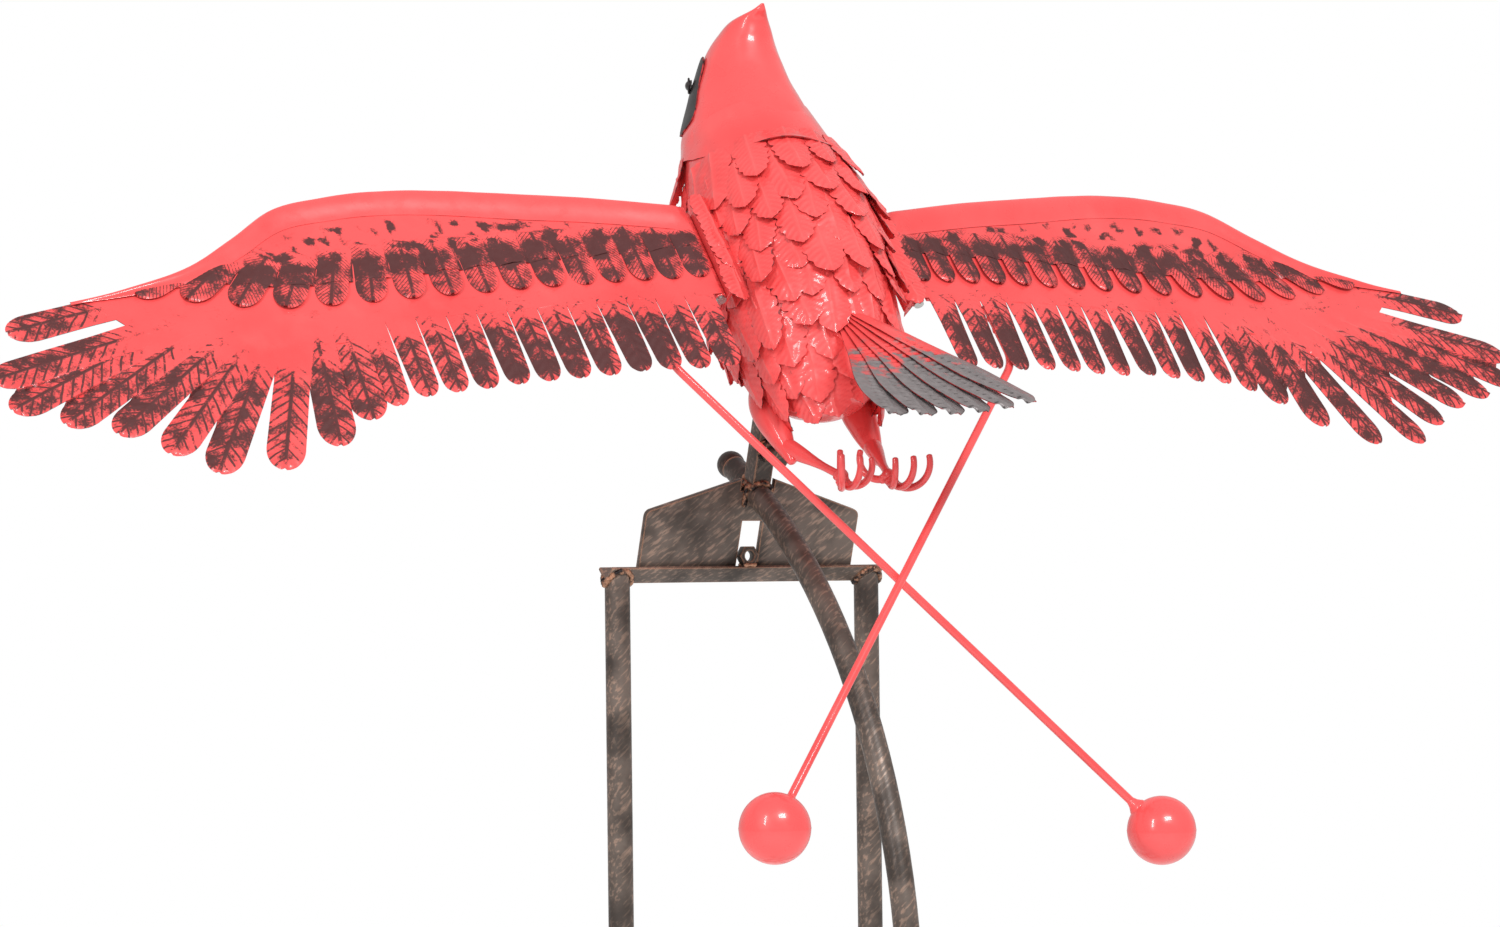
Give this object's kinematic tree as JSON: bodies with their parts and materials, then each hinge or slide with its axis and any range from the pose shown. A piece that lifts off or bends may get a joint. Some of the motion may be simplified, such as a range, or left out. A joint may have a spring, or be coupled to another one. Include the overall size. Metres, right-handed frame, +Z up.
{
  "type": "motion wing decoy",
  "caption": "Sheet-steel bird with hinged, counterweighted wings that rocks on a knife edge in a V trough, held upright by a long curved pendulum on a two-post stand.",
  "frame": {"origin": "on the ground, straight below the middle of the rocking axis", "axes": "+Z up, -Y towards the beak, +Y towards the tail, +X towards the bird's left wing"},
  "size_m": [1.6813, 0.8741, 1.846],
  "materials": {
    "red_paint": "gloss paint over hammered sheet steel",
    "brushed_feathers": "red paint with black brushed over the embossing",
    "black_paint": "satin black paint",
    "bronze_paint": "dark bronze paint with copper brushed edges",
    "zinc_steel": "zinc plated steel",
    "black_plastic": "moulded plastic",
    "gloss_black": "gloss black bead"
  },
  "bodies": {
    "stand": {"left_post": "bronze_paint", "right_post": "bronze_paint", "foot_plates": "bronze_paint", "left_side_bar": "bronze_paint", "right_side_bar": "bronze_paint", "front_rail": "bronze_paint", "rear_rail": "bronze_paint", "rail_end_caps": "black_plastic", "base_bolts": "bronze_paint", "base_nuts": "bronze_paint", "trough": "bronze_paint", "keeper_nut": "bronze_paint"},
    "rocker": {"rocker_plate": "bronze_paint", "pendulum_tube": "bronze_paint", "tube_end_ball": "bronze_paint", "counterweight_ball": "bronze_paint", "neck_socket": "bronze_paint", "clamp_nut": "bronze_paint", "bird_post": "bronze_paint", "cross_bar": "red_paint", "body_shell": "red_paint", "hood": "red_paint", "face_mask": "black_paint", "upper_beak": "red_paint", "lower_beak": "red_paint", "eyes": "gloss_black", "collar_feathers": "red_paint", "shoulder_feathers": "red_paint", "mantle_feathers": "red_paint", "back_feathers": "red_paint", "rump_feathers": "red_paint", "tail_mount": "red_paint", "tail_feathers": "brushed_feathers", "left_thigh": "red_paint", "right_thigh": "red_paint", "left_shank": "red_paint", "right_shank": "red_paint", "left_foot": "red_paint", "right_foot": "red_paint", "left_hinge_leaf": "red_paint", "right_hinge_leaf": "red_paint", "left_hinge_pin": "zinc_steel", "right_hinge_pin": "zinc_steel"},
    "clamp_screw": {"clamp_bolt": "bronze_paint"},
    "left_wing": {"left_wing_panel": "brushed_feathers", "left_wing_coverts": "brushed_feathers", "left_leading_edge": "red_paint", "left_wing_leaf": "red_paint", "left_wing_rod": "red_paint", "left_wing_ball": "red_paint"},
    "right_wing": {"right_wing_panel": "brushed_feathers", "right_wing_coverts": "brushed_feathers", "right_leading_edge": "red_paint", "right_wing_leaf": "red_paint", "right_wing_rod": "red_paint", "right_wing_ball": "red_paint"}
  },
  "joints": [
    {"name": "rock", "type": "hinge", "parent": "stand", "child": "rocker", "pos_m": [0, 0, 1.28], "axis": [1, 0, 0], "range_deg": [-24, 30]},
    {"name": "left_wing_flap", "type": "hinge", "parent": "rocker", "child": "left_wing", "pos_m": [0.112, 0.083, 1.6325], "axis": [0, -0.6428, 0.766], "range_deg": [-20, 25]},
    {"name": "right_wing_flap", "type": "hinge", "parent": "rocker", "child": "right_wing", "pos_m": [-0.112, 0.083, 1.6325], "axis": [0, 0.6428, -0.766], "range_deg": [-20, 25]},
    {"name": "clamp_turn", "type": "hinge", "parent": "rocker", "child": "clamp_screw", "pos_m": [0, 0.04079, 1.40554], "axis": [0, 0.9511, -0.309], "range_deg": [-360, 0]}
  ],
  "couplings": [
    {"joint": "right_wing_flap", "follows": "left_wing_flap", "ratio": 1}
  ]
}
